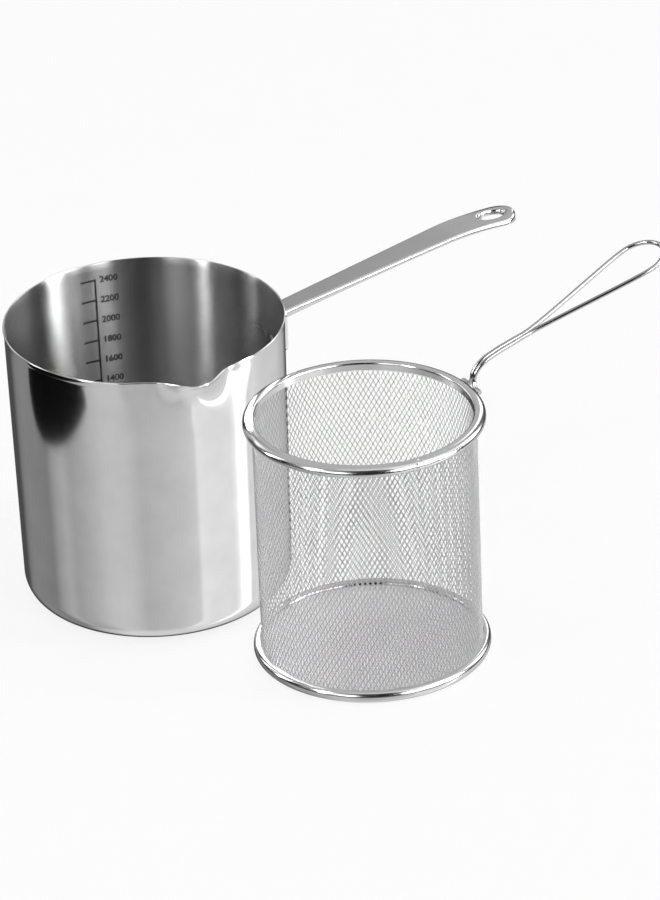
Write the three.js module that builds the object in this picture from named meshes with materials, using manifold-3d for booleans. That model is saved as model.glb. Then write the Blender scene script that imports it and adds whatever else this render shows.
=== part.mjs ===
// Deep fry pot with basket. A deep drawn steel pot has a pouring spout, a flat bracket
// and a stamped strap handle. Beside it stands a wire mesh basket with a rolled hoop
// at the top and at the base, and a looped wire handle.
// Millimetres, +Z up. The origin is the middle of the pot's underside, on the surface
// that both stand on, and +X runs along the pot's handle.

import * as THREE from "three";
import { mergeVertices } from "three/addons/utils/BufferGeometryUtils.js";
import Module from "manifold-3d";

const wasm = await Module();
wasm.setup();

// Shared values
const seatGap = 0.3; // between two pieces that touch on the real object
const cutOverrun = 3; // how far a cutting shape runs past what it cuts
const fullTurn = 2 * Math.PI;
const quarterTurn = Math.PI / 2;

// Pot shell
const rimRadius = 75;
const potHeight = 158;
const potSheet = 1;
const lipFlare = 0.5;
const lipHeight = 3;
const wallTaper = 2.2;
const baseCornerRadius = 13;
const potFacets = 62;
const potFacetCrowdShare = 0.45; // how far the facets crowd towards the spout
const cornerSteps = 4;

// Spout
const spoutBearing = THREE.MathUtils.degToRad(-96);
const spoutHalfAngle = THREE.MathUtils.degToRad(16.5);
const spoutReach = 11;
const spoutDepth = 34;
const spoutSteps = 4;
const spoutDrawIn = 0.8;
const spoutFlankShare = 1.4; // middle of each drawn-in flank, in half angles

// Bracket plate, welded to the wall
const bracketWidth = 32;
const bracketHeight = 26;
const bracketThickness = 2;
const bracketCornerRadius = 5;
const bracketTopBelowRim = 8;

// Strap handle
const strapReach = 147; // from the bracket to the tip
const strapRootWidth = 13;
const strapTipWidth = 21.5;
const strapSheet = 1.2;
const strapShoulderRadius = 1.8;
const strapRootInset = 6.5; // top face of the strap below the bracket's top edge
const strapRise = 27.5; // from the bracket to the tip, along a straight line
const strapDroop = 4.5; // how far the tip bends down from that line
const strapDroopLength = 46;
const strapRootDepth = 4.2;
const strapWaistDepth = 2.6;
const strapTipDepth = 4.8;
const strapWaistShare = 0.62; // place of the shallowest flange along the strap
const strapSteps = 16;
const strapNoseSteps = 7;
const shoulderSteps = 3;
const hangHoleLength = 14;
const hangHoleWidth = 9.5;
const hangHoleFromTip = 13.5;
const hangHoleFacets = 20;
const hangDishDepth = 2.2; // how far the metal round the hole is pressed down
const hangDishShare = 1.6; // width of that dish, in hole widths

// Basket hoops
const basketBelowRim = 18.6; // how far its top stays below the pot's rim, standing inside
const rimHoopProud = 4.8; // how far the hoop stands out from the mesh
const rimHoopTall = 5.5;
const baseHoopProud = 4.2;
const baseHoopTall = 6;
const hoopSheet = 0.5;
const hoopEdgeRadius = 2.4;
const hoopLegRadius = 1.2;
const hoopFacets = 44;
const hoopEdgeSteps = 2;
const coreFacets = 5;

// Basket mesh
const meshWallRadius = 58.3; // middle of the mesh
const meshThickness = 0.8;
const meshBarWidth = 1.6;
const meshWallColumns = 28;
const meshWallRows = 7;
const meshFloorPitch = 12.6;

// Basket handle, one bent wire
const wireRadius = 1.2;
const wireSides = 8;
const wireSteps = 92;
const wireEndAngle = THREE.MathUtils.degToRad(7.8); // where each end lies on the hoop
const wireTurnAngle = THREE.MathUtils.degToRad(3.2); // where it turns up off the hoop
const wireStandHeight = 15; // from the foot of the wire to its bend
const wireBendOut = 15; // how far the bend carries the wire out
const wireBendShares = [[0.02, 0.2], [0.1, 0.5], [0.4, 0.82], [1, 1.08]]; // out and up
const neckEndReach = 36; // from the hoop to where the two runs part
const loopCentreReach = 102; // from the hoop to the middle of the round end
const loopRadius = 13.7;
const loopSteps = 8;
const loopSlopeShare = 0.36; // rise for each unit of reach

// Where the basket stands
const standingGap = 0.6;
const basketBearing = THREE.MathUtils.degToRad(-61.8);
const basketTurn = THREE.MathUtils.degToRad(1);

// Sizes worked out from the ones above
const wallTopRadius = rimRadius - lipFlare;
const wallFootRadius = wallTopRadius - wallTaper;
const flareFoot = potHeight - lipHeight;
const bracketTop = potHeight - bracketTopBelowRim;
const basketHeight = potHeight - potSheet - basketBelowRim;
const bracketBottom = bracketTop - bracketHeight;
const bracketInner = wallRadiusAt(bracketTop) + seatGap;
const bracketOuter = bracketInner + bracketThickness;
const strapRootTop = bracketTop - strapRootInset;
const meshInner = meshWallRadius - meshThickness / 2;
const meshOuter = meshWallRadius + meshThickness / 2;
const hoopInner = meshInner - seatGap - hoopSheet;
const rimHoopRadius = meshOuter + rimHoopProud;
const baseHoopRadius = meshOuter + baseHoopProud;
const hoopRoom = Math.min(rimHoopProud, baseHoopProud) - hoopSheet;
const coreWireRadius = hoopRoom / 2 - seatGap;
const meshEndRise = hoopLegRadius + seatGap;
const floorBottom = baseHoopTall / 2;
const wireLine = rimHoopRadius + seatGap + wireRadius;
const runOffset = wireRadius + seatGap / 2;
const wireFootHeight = basketHeight - rimHoopTall / 2;
const basketDistance = rimRadius + rimHoopRadius + standingGap;

function wallRadiusAt(height) {
  const share = (height - baseCornerRadius) / (flareFoot - baseCornerRadius);
  return wallFootRadius + wallTaper * share;
}

// Solids and meshes

function solidFrom(geometry) {
  const bare = geometry.clone();
  bare.deleteAttribute("normal");
  bare.deleteAttribute("uv");
  const merged = mergeVertices(bare);
  const index = merged.index.array;
  const corners = [];
  for (let i = 0; i < index.length; i += 3) {
    const [a, b, c] = [index[i], index[i + 1], index[i + 2]];
    if (a !== b && b !== c && c !== a) corners.push(a, b, c);
  }
  const vertProperties = new Float32Array(merged.attributes.position.array);
  const triVerts = new Uint32Array(corners);
  return new wasm.Manifold(new wasm.Mesh({ numProp: 3, vertProperties, triVerts }));
}

function geometryFrom(solid) {
  const mesh = solid.getMesh();
  const geometry = new THREE.BufferGeometry();
  geometry.setAttribute("position", new THREE.BufferAttribute(mesh.vertProperties, 3));
  geometry.setIndex(new THREE.BufferAttribute(mesh.triVerts, 1));
  geometry.computeVertexNormals();
  return geometry;
}

function steel(color, roughness) {
  return new THREE.MeshStandardMaterial({ color, roughness, metalness: 1 });
}

function named(name, solid, material) {
  const mesh = new THREE.Mesh(geometryFrom(solid), material);
  mesh.name = name;
  return mesh;
}

// Points of a round corner about a centre, from one angle to another
function arcPoints(x, y, radius, from, to, steps) {
  const points = [];
  for (let i = 0; i <= steps; i += 1) {
    const angle = from + ((to - from) * i) / steps;
    points.push(new THREE.Vector2(x + radius * Math.cos(angle), y + radius * Math.sin(angle)));
  }
  return points;
}

// Revolves a closed outline of (radius, height) about Z. The outline runs up the outside
// and down the inside.
function revolved(outline, facets) {
  const closed = outline[0].x > 0 ? [...outline, outline[0]] : outline;
  return new THREE.LatheGeometry(closed, facets).rotateX(quarterTurn);
}

// Joins rings of points, each the same number long, into a closed body with flat ends
function lofted(rings) {
  const sides = rings[0].length;
  const positions = rings.flat().flatMap((point) => [point.x, point.y, point.z]);
  const index = [];
  for (let r = 0; r < rings.length - 1; r += 1) {
    for (let s = 0; s < sides; s += 1) {
      const a = r * sides + s;
      const b = r * sides + ((s + 1) % sides);
      index.push(a, b, b + sides, a, b + sides, a + sides);
    }
  }
  const last = (rings.length - 1) * sides;
  const flat = rings[0].map((point) => new THREE.Vector2(point.y, point.z));
  for (const [a, b, c] of THREE.ShapeUtils.triangulateShape(flat, [])) {
    index.push(a, c, b, last + a, last + b, last + c);
  }
  const geometry = new THREE.BufferGeometry();
  geometry.setAttribute("position", new THREE.Float32BufferAttribute(positions, 3));
  geometry.setIndex(index);
  return geometry;
}

// Pot shell

function potOutline() {
  const lipMiddle = rimRadius - potSheet / 2;
  const lipTurn = potHeight - potSheet / 2;
  const cornerLine = wallFootRadius - baseCornerRadius;
  const outerCorner = arcPoints(
    cornerLine, baseCornerRadius, baseCornerRadius, -quarterTurn, 0, cornerSteps,
  );
  const innerCorner = arcPoints(
    cornerLine, baseCornerRadius, baseCornerRadius - potSheet, 0, -quarterTurn, cornerSteps,
  );
  const heights = [];
  for (let i = 0; i <= spoutSteps; i += 1) {
    heights.push(flareFoot - spoutDepth + (spoutDepth * i) / spoutSteps);
  }
  const outerWall = heights.map((z) => new THREE.Vector2(wallRadiusAt(z), z));
  const innerWall = heights.map((z) => new THREE.Vector2(wallRadiusAt(z) - potSheet, z)).reverse();
  return [
    new THREE.Vector2(0, 0),
    ...outerCorner,
    ...outerWall,
    new THREE.Vector2(rimRadius, lipTurn),
    new THREE.Vector2(lipMiddle, potHeight),
    new THREE.Vector2(rimRadius - potSheet, lipTurn),
    ...innerWall,
    ...innerCorner,
    new THREE.Vector2(0, potSheet),
  ];
}

// A smooth swell, 1 at its middle and 0 from one half width away
function swell(offset, halfWidth) {
  const share = Math.min(1, Math.abs(offset) / halfWidth);
  return (1 + Math.cos(Math.PI * share)) / 2;
}

// How far the wall is pushed out at an angle from the spout and a height
function spoutPush(angle, height) {
  const rise = Math.max(0, (height - flareFoot + spoutDepth) / (spoutDepth + lipHeight));
  const flank = spoutFlankShare * spoutHalfAngle;
  const out = spoutReach * swell(angle, spoutHalfAngle);
  const drawn = spoutDrawIn * swell(Math.abs(angle) - flank, spoutHalfAngle / 2);
  return (out - drawn) * rise * rise;
}

function potShell() {
  const geometry = revolved(potOutline(), potFacets);
  const place = geometry.attributes.position;
  for (let i = 0; i < place.count; i += 1) {
    const radius = Math.hypot(place.getX(i), place.getY(i));
    const height = place.getZ(i);
    const turn = Math.atan2(place.getY(i), place.getX(i));
    const angle = turn - potFacetCrowdShare * Math.sin(turn);
    const reach = radius > 0 ? radius + spoutPush(angle, height) : 0;
    const bearing = spoutBearing + angle;
    place.setXYZ(i, reach * Math.cos(bearing), reach * Math.sin(bearing), height);
  }
  return solidFrom(geometry);
}

// Bracket plate: a rounded rectangle, upright against the wall

function roundedRectangle(width, height, radius) {
  const [x, y] = [width / 2 - radius, height / 2 - radius];
  const points = [
    ...arcPoints(x, y, radius, 0, quarterTurn, cornerSteps),
    ...arcPoints(-x, y, radius, quarterTurn, 2 * quarterTurn, cornerSteps),
    ...arcPoints(-x, -y, radius, 2 * quarterTurn, 3 * quarterTurn, cornerSteps),
    ...arcPoints(x, -y, radius, 3 * quarterTurn, 4 * quarterTurn, cornerSteps),
  ];
  return new THREE.Shape(points);
}

function handleBracket() {
  const shape = roundedRectangle(bracketWidth, bracketHeight, bracketCornerRadius);
  const plate = new THREE.ExtrudeGeometry(shape, { depth: bracketThickness, bevelEnabled: false });
  plate.rotateX(quarterTurn).rotateZ(quarterTurn);
  plate.translate(bracketInner, 0, (bracketTop + bracketBottom) / 2);
  return solidFrom(plate);
}

// Strap handle: an inverted channel with rounded shoulders and a closed round nose

function strapHalfWidth(along, reach, inset) {
  const nose = strapTipWidth / 2 - inset;
  const noseStart = reach - nose;
  const share = along / (strapReach - strapTipWidth / 2);
  const straight = (strapRootWidth + (strapTipWidth - strapRootWidth) * share) / 2 - inset;
  if (along <= noseStart) return Math.min(straight, nose);
  return Math.sqrt(Math.max(0, nose * nose - (along - noseStart) ** 2));
}

function strapTopAt(along) {
  const bent = Math.max(0, (along - strapReach + strapDroopLength) / strapDroopLength);
  return strapRootTop + (strapRise * along) / strapReach - strapDroop * bent * bent;
}

function strapDepthAt(along) {
  const waist = strapWaistShare * strapReach;
  const [end, span] = along < waist ? [strapRootDepth, waist] : [strapTipDepth, strapReach - waist];
  const share = Math.abs(along - waist) / span;
  return strapWaistDepth + (end - strapWaistDepth) * share * share;
}

// One upright section of the strap, with its top lowered and its sides moved in by inset
function strapSection(along, reach, inset, bottom) {
  const half = strapHalfWidth(along, reach, inset);
  const radius = Math.min(strapShoulderRadius - inset / 2, half);
  const top = strapTopAt(along) - inset;
  const right = arcPoints(half - radius, top - radius, radius, 0, quarterTurn, shoulderSteps);
  const left = arcPoints(
    radius - half, top - radius, radius, quarterTurn, 2 * quarterTurn, shoulderSteps,
  );
  const outline = [
    new THREE.Vector2(half, bottom),
    ...right,
    ...left,
    new THREE.Vector2(-half, bottom),
  ];
  return outline.map((p) => new THREE.Vector3(bracketOuter + seatGap + along, p.x, p.y));
}

function strapBody(start, reach, inset, deeper) {
  const nose = strapTipWidth / 2 - inset;
  const stations = [];
  for (let i = 0; i < strapSteps; i += 1) {
    stations.push(start + ((reach - nose - start) * i) / strapSteps);
  }
  for (let i = 0; i < strapNoseSteps; i += 1) {
    stations.push(reach - nose + nose * Math.sin((quarterTurn * i) / strapNoseSteps));
  }
  stations.push(reach - nose * (1 - Math.cos(quarterTurn / strapNoseSteps / 2)));
  return solidFrom(lofted(stations.map((along) => {
    const bottom = strapTopAt(along) - strapDepthAt(along) - deeper;
    return strapSection(along, reach, inset, bottom);
  })));
}

// Revolves an outline in half widths of the hang hole and heights above the strap's face, and
// sets it in its place on the strap, leaning with the face
function atHangHole(outline) {
  const along = strapReach - hangHoleFromTip;
  const [back, front] = [along - hangHoleLength / 2, along + hangHoleLength / 2];
  const lean = Math.atan2(strapTopAt(front) - strapTopAt(back), hangHoleLength);
  const geometry = revolved(outline, hangHoleFacets);
  geometry.scale(hangHoleLength / 2, hangHoleWidth / 2, 1).rotateY(-lean);
  return solidFrom(geometry.translate(bracketOuter + seatGap + along, 0, strapTopAt(along)));
}

// The metal that is pressed down round the hole
function hangDish() {
  return atHangHole([
    new THREE.Vector2(0, -hangDishDepth - strapSheet),
    new THREE.Vector2(1, -hangDishDepth - strapSheet),
    new THREE.Vector2(hangDishShare, -strapSheet),
    new THREE.Vector2(hangDishShare, -strapSheet / 2),
    new THREE.Vector2(0, -strapSheet / 2),
  ]);
}

// What the dish and the hole leave open
function hangHole() {
  const spread = (hangDishShare - 1) * (cutOverrun / hangDishDepth);
  return atHangHole([
    new THREE.Vector2(0, -strapTipDepth - cutOverrun),
    new THREE.Vector2(1, -strapTipDepth - cutOverrun),
    new THREE.Vector2(1, -hangDishDepth),
    new THREE.Vector2(hangDishShare + spread, cutOverrun),
    new THREE.Vector2(0, cutOverrun),
  ]);
}

function potHandle() {
  const outside = strapBody(0, strapReach, 0, 0);
  const inside = strapBody(-cutOverrun, strapReach - strapSheet, strapSheet, cutOverrun);
  return outside.subtract(inside).add(hangDish()).subtract(hangHole());
}

// Basket hoops: a strip rolled round a core wire, open where the mesh goes in

// The outline of a hoop at the top of the basket, with its slot below, about height 0
function hoopOutline(radius, tall, legBottom) {
  const [left, right] = [hoopInner, radius];
  const [edge, leg] = [Math.min(hoopEdgeRadius, tall / 2), hoopLegRadius];
  const slotOuter = meshOuter + seatGap;
  const outer = [
    ...arcPoints(right - edge, edge - tall, edge, -quarterTurn, 0, hoopEdgeSteps),
    ...arcPoints(right - edge, -edge, edge, 0, quarterTurn, hoopEdgeSteps),
    ...arcPoints(left + leg, -leg, leg, quarterTurn, 2 * quarterTurn, hoopEdgeSteps),
  ];
  const [thinEdge, thinLeg] = [edge - hoopSheet, leg - hoopSheet];
  const inner = [
    ...arcPoints(left + leg, -leg, thinLeg, 2 * quarterTurn, quarterTurn, hoopEdgeSteps),
    ...arcPoints(right - edge, -edge, thinEdge, quarterTurn, 0, hoopEdgeSteps),
    ...arcPoints(right - edge, edge - tall, thinEdge, 0, -quarterTurn, hoopEdgeSteps),
  ];
  return [
    new THREE.Vector2(slotOuter, -tall),
    ...outer,
    new THREE.Vector2(left, legBottom),
    new THREE.Vector2(left + hoopSheet, legBottom),
    ...inner,
    new THREE.Vector2(slotOuter, hoopSheet - tall),
  ];
}

function rimBand() {
  const outline = hoopOutline(rimHoopRadius, rimHoopTall, -rimHoopTall);
  return solidFrom(revolved(outline, hoopFacets).translate(0, 0, basketHeight));
}

// The base hoop is the same form upside down, with a short inner leg under the floor
function baseBand() {
  const legTop = seatGap - floorBottom;
  const outline = hoopOutline(baseHoopRadius, baseHoopTall, legTop).reverse();
  const upright = outline.map((point) => new THREE.Vector2(point.x, -point.y));
  return solidFrom(revolved(upright, hoopFacets));
}

function coreWire(hoopRadius, middle) {
  const line = (meshOuter + hoopRadius - hoopSheet) / 2;
  const round = arcPoints(line, middle, coreWireRadius, 0, fullTurn, coreFacets).slice(0, -1);
  return solidFrom(revolved(round, hoopFacets));
}

// Mesh wall: a tube with a gap in every second column of every second row

function meshWall() {
  const bottom = meshEndRise;
  const top = basketHeight - meshEndRise;
  const barAngle = meshBarWidth / meshWallRadius;
  const columnAngle = fullTurn / meshWallColumns;
  const rowHeight = (top - bottom - meshBarWidth) / meshWallRows;
  const angles = [];
  for (let i = 0; i < meshWallColumns; i += 1) {
    angles.push(i * columnAngle - barAngle / 2, i * columnAngle + barAngle / 2);
  }
  const heights = [];
  for (let i = 0; i <= meshWallRows; i += 1) {
    heights.push(bottom + i * rowHeight, bottom + i * rowHeight + meshBarWidth);
  }
  const [across, up] = [angles.length, heights.length];
  const positions = [];
  for (const radius of [meshOuter, meshInner]) {
    for (const z of heights) {
      for (const a of angles) positions.push(radius * Math.cos(a), radius * Math.sin(a), z);
    }
  }
  const corner = (side, row, column) => side * across * up + row * across + (column % across);
  const solidAt = (row, column) =>
    row >= 0 && row < up - 1 && (row % 2 === 0 || column % across % 2 === 0);
  const index = [];
  const quad = (a, b, c, d) => index.push(a, b, c, a, c, d);
  for (let row = 0; row < up - 1; row += 1) {
    for (let column = 0; column < across; column += 1) {
      if (!solidAt(row, column)) continue;
      const o = [[0, 0], [0, 1], [1, 1], [1, 0]].map(([r, c]) => corner(0, row + r, column + c));
      const i = [[0, 0], [0, 1], [1, 1], [1, 0]].map(([r, c]) => corner(1, row + r, column + c));
      quad(o[0], o[1], o[2], o[3]);
      quad(i[3], i[2], i[1], i[0]);
      if (!solidAt(row - 1, column)) quad(i[0], i[1], o[1], o[0]);
      if (!solidAt(row + 1, column)) quad(o[3], o[2], i[2], i[3]);
      if (!solidAt(row, column + 1)) quad(o[1], i[1], i[2], o[2]);
      if (!solidAt(row, column + across - 1)) quad(i[0], o[0], o[3], i[3]);
    }
  }
  const geometry = new THREE.BufferGeometry();
  geometry.setAttribute("position", new THREE.Float32BufferAttribute(positions, 3));
  geometry.setIndex(index);
  return solidFrom(geometry);
}

// Mesh floor: a disc with square gaps, on the short leg of the base hoop

function meshFloor() {
  const radius = meshInner - seatGap;
  const edge = radius - meshBarWidth;
  const rim = new THREE.Shape(
    arcPoints(0, 0, radius, 0, fullTurn, hoopFacets).slice(0, -1),
  );
  const disc = new THREE.ExtrudeGeometry(rim, { depth: meshThickness, bevelEnabled: false });
  const gap = meshFloorPitch - meshBarWidth;
  const tall = meshThickness + 2 * cutOverrun;
  const count = Math.floor(edge / meshFloorPitch);
  const gaps = [];
  for (let i = -count; i <= count; i += 1) {
    for (let j = -count; j <= count; j += 1) {
      const [x, y] = [i * meshFloorPitch, j * meshFloorPitch];
      if (Math.hypot(Math.abs(x) + gap / 2, Math.abs(y) + gap / 2) > edge) continue;
      const punch = new THREE.BoxGeometry(gap, gap, tall);
      gaps.push(solidFrom(punch.translate(x, y, meshThickness / 2)));
    }
  }
  return solidFrom(disc).subtract(wasm.Manifold.union(gaps)).translate([0, 0, floorBottom]);
}

// Basket handle: both ends lie along the hoop, rise side by side, bend out and part
// into a loop

function wireLoopAngles() {
  const lean = Math.asin((loopRadius - runOffset) / (loopCentreReach - neckEndReach));
  const start = quarterTurn + lean;
  return Array.from({ length: loopSteps + 1 }, (_, i) => start - (2 * start * i) / loopSteps);
}

// The points of one leg, from its end on the hoop to where the two runs part
function wireLeg() {
  const point = (reach, side, rise) =>
    new THREE.Vector3(wireLine + reach, side, wireFootHeight + rise);
  const onHoop = (angle) => new THREE.Vector3(
    wireLine * Math.cos(angle), wireLine * Math.sin(angle), wireFootHeight,
  );
  const bend = wireBendShares.map(([out, up]) =>
    point(out * wireBendOut, runOffset, up * wireStandHeight));
  const neckRise = wireStandHeight + loopSlopeShare * (neckEndReach - wireBendOut);
  const neck = point(neckEndReach, runOffset, neckRise);
  return [
    onHoop(wireEndAngle),
    onHoop((wireEndAngle + wireTurnAngle) / 2),
    onHoop(wireTurnAngle),
    ...bend,
    bend.at(-1).clone().lerp(neck, 1 / 2),
    neck,
  ];
}

function basketHandle() {
  const leg = wireLeg();
  const neck = leg.at(-1);
  const loop = wireLoopAngles().map((angle) => {
    const reach = loopCentreReach + loopRadius * Math.cos(angle);
    const rise = loopSlopeShare * (reach - neckEndReach);
    return new THREE.Vector3(wireLine + reach, loopRadius * Math.sin(angle), neck.z + rise);
  });
  const mirror = (point) => new THREE.Vector3(point.x, -point.y, point.z);
  const points = [...leg, ...loop, ...leg.map(mirror).reverse()];
  const path = new THREE.CatmullRomCurve3(points, false, "centripetal");
  const round = new THREE.Shape(
    arcPoints(0, 0, wireRadius, 0, fullTurn, wireSides).slice(0, -1),
  );
  const settings = { steps: wireSteps, extrudePath: path, bevelEnabled: false };
  return solidFrom(new THREE.ExtrudeGeometry(round, settings));
}

// Assembly

const polished = steel(0xc9c9c9, 0.16);
const brushed = steel(0xbcbcbc, 0.32);
const hoopSteel = steel(0xc4c4c4, 0.2);
const meshSteel = steel(0xb8b8b8, 0.35);

const pot = new THREE.Group();
pot.add(
  named("pot_shell", potShell(), polished),
  named("handle_bracket", handleBracket(), polished),
  named("pot_handle", potHandle(), brushed),
);

const rimCoreHeight = basketHeight - rimHoopTall / 2;
const baseCoreHeight = baseHoopTall / 2;
const basket = new THREE.Group();
basket.add(
  named("rim_band", rimBand(), hoopSteel),
  named("rim_core_wire", coreWire(rimHoopRadius, rimCoreHeight), brushed),
  named("mesh_wall", meshWall(), meshSteel),
  named("mesh_floor", meshFloor(), meshSteel),
  named("base_band", baseBand(), hoopSteel),
  named("base_core_wire", coreWire(baseHoopRadius, baseCoreHeight), brushed),
  named("basket_handle", basketHandle(), hoopSteel),
);
basket.position.set(
  basketDistance * Math.cos(basketBearing), basketDistance * Math.sin(basketBearing), 0,
);
basket.rotation.z = basketTurn;

const group = new THREE.Group();
group.add(pot, basket);

export default group;
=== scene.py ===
"""Deep fry pot with its mesh basket: fine surfaces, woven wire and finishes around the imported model."""

import math

import bmesh
import bpy
import numpy as np
from mathutils import Matrix, Vector


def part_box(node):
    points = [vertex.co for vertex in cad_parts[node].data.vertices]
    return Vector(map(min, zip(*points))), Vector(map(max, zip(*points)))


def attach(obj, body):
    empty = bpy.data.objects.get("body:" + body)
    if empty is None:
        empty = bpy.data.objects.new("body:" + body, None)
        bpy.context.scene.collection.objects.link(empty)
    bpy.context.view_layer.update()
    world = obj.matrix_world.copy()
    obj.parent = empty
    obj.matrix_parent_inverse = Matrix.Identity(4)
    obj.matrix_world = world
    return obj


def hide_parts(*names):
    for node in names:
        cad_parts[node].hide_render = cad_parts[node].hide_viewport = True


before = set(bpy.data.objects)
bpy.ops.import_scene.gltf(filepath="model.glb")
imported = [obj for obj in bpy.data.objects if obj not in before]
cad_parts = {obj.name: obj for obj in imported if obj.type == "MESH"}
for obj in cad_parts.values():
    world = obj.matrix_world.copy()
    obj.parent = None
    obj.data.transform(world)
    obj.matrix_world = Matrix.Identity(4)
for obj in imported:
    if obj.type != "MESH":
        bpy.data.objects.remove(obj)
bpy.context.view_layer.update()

FULL_TURN = 2 * math.pi
QUARTER_TURN = math.pi / 2

# Pot shell, metres
RIM_RADIUS = 0.075
POT_SHEET = 0.001
LIP_FLARE = 0.0005
LIP_HEIGHT = 0.003
WALL_TAPER = 0.0022
BASE_CORNER = 0.013
POT_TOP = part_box("pot_shell")[1].z
WALL_TOP_RADIUS = RIM_RADIUS - LIP_FLARE
WALL_FOOT_RADIUS = WALL_TOP_RADIUS - WALL_TAPER
FLARE_FOOT = POT_TOP - LIP_HEIGHT
POT_FACETS = 320
POT_CENTRE = 0.002  # radius of the disc in the middle of its floor
FLOOR_POINTS = 6
WALL_POINTS = 8  # below the spout
SPOUT_POINTS = 30  # from there up to the lip
CORNER_STEPS = 16
LIP_STEPS = 8

# Spout
SPOUT_BEARING = math.radians(-96)
SPOUT_HALF_ANGLE = math.radians(16.5)
SPOUT_FLANK_SHARE = 1.4
SPOUT_REACH = 0.011
SPOUT_DEPTH = 0.034
SPOUT_DRAW_IN = 0.0008
SPOUT_FADE = 2.5

# Strap handle
STRAP_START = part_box("pot_handle")[0].x
STRAP_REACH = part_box("pot_handle")[1].x - STRAP_START
STRAP_ROOT_WIDTH = 0.013
STRAP_TIP_WIDTH = 0.0215
STRAP_SHEET = 0.0012
STRAP_SHOULDER = 0.0018  # radius of its long edges
STRAP_TIP_SHOULDER = 0.002  # the same round the tip
STRAP_SHOULDER_GROWTH = 0.03  # length over which one becomes the other
STRAP_ROOT_TOP = 0.1435
STRAP_RISE = 0.0275
STRAP_DROOP = 0.0045
STRAP_DROOP_LENGTH = 0.046
STRAP_CROWN = 0.0021  # how far the face falls to both sides at the tip
STRAP_ROOT_DEPTH = 0.0042
STRAP_WAIST_DEPTH = 0.0026
STRAP_TIP_DEPTH = 0.0048
STRAP_WAIST_SHARE = 0.62
STRAP_STRAIGHT_STEPS = 170
STRAP_NOSE_STEPS = 50
STRAP_FACE_STEPS = 14  # across its face
STRAP_SHOULDER_STEPS = 8
HANG_HOLE_LENGTH = 0.014
HANG_HOLE_WIDTH = 0.0095
HANG_HOLE_FROM_TIP = 0.0135
HANG_DISH_DEPTH = 0.0022  # how far the metal round the hole is pressed down
HANG_DISH_SHARE = 1.45  # width of that dish, in hole widths

# Basket
BASKET_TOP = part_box("rim_band")[1].z
BASKET_CENTRE = (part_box("rim_band")[0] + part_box("rim_band")[1]) / 2
BASKET_TURN = math.radians(1)
MESH_RADIUS = 0.0583
MESH_THICKNESS = 0.0008
RIM_HOOP_RADIUS = 0.0635
RIM_HOOP_TALL = 0.0055
RIM_MIDDLE = BASKET_TOP - RIM_HOOP_TALL / 2
BASE_HOOP_RADIUS = 0.0629
BASE_HOOP_TALL = 0.006
HOOP_SHEET = 0.0005
RIM_SHOULDER = (0.0045, 0.0031)  # width and height of the rim hoop's rounded outer side
RIM_EDGE = 0.0024  # radius below it
BASE_SHOULDER = (0.0027, 0.0027)
BASE_EDGE = 0.0027
HOOP_LEG = 0.0012
SEAT_GAP = 0.0003
HOOP_FACETS = 480
OUTER_STEPS = (10, 16, 8)  # steps of a hoop's edge, shoulder and leg
INNER_STEPS = (8, 12, 8)  # the same on the inner face of its sheet
CORE_WIRE_RADIUS = 0.00155
CORE_WIRE_SIDES = 12
SKIN_REACH = CORE_WIRE_RADIUS + 1.2 * HOOP_SHEET  # a hoop's points beyond it are its outer skin
RIM_LEG_TALL = 0.0042  # how far the rim hoop's inner leg reaches down

# Joint of the rim hoop's strip: a weld, and beside it the strip's free end as a low tab
JOINT_BEARING = math.radians(-91.3)
JOINT_HALF_ANGLE = math.radians(1.4)
JOINT_PROUD = 0.00033
JOINT_SINK = 0.0003  # the strip's ends are filed down about as far, so that the weld stays in line
JOINT_SINK_HALF_ANGLE = math.radians(25)
TAB_START = math.radians(-89)
TAB_END = math.radians(-74)
TAB_PROUD = 0.0002

# Woven mesh
WEAVE_PITCH = 0.0024  # between neighbouring wires of one direction
WEAVE_SLOPE = math.radians(61.5)  # of the wall's wires, which run on the bias
WEAVE_WIRE = 0.00022  # radius of one wire
WEAVE_LIFT = 0.00023  # how far a wire bends to each side as it crosses the others
WEAVE_SIDES = 6
FLOOR_PITCH = 0.00115  # the floor's cloth is finer
FLOOR_WIRE = 0.00023
FLOOR_LIFT = 0.00024
FLOOR_WEAVE_TURN = math.radians(18)

# Basket handle
WIRE_RADIUS = 0.0012
WIRE_SIDES = 16
WIRE_END_ANGLE = math.radians(7.8)
WIRE_TURN_ANGLE = math.radians(3.2)
WIRE_STAND = 0.015
WIRE_BEND_OUT = 0.015
WIRE_BEND_SHARES = [(0.02, 0.2), (0.1, 0.5), (0.4, 0.82), (1, 1.08)]
NECK_END_REACH = 0.036
LOOP_CENTRE_REACH = 0.102
LOOP_RADIUS = 0.0137
LOOP_SLOPE_SHARE = 0.36
LOOP_STEPS = 8
PATH_STEPS = 10  # between two points of the handle's path
WIRE_LINE = RIM_HOOP_RADIUS + SEAT_GAP + WIRE_RADIUS  # radius on which the wire lies along the hoop
NECK_RISE = WIRE_STAND + LOOP_SLOPE_SHARE * (NECK_END_REACH - WIRE_BEND_OUT)

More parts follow.
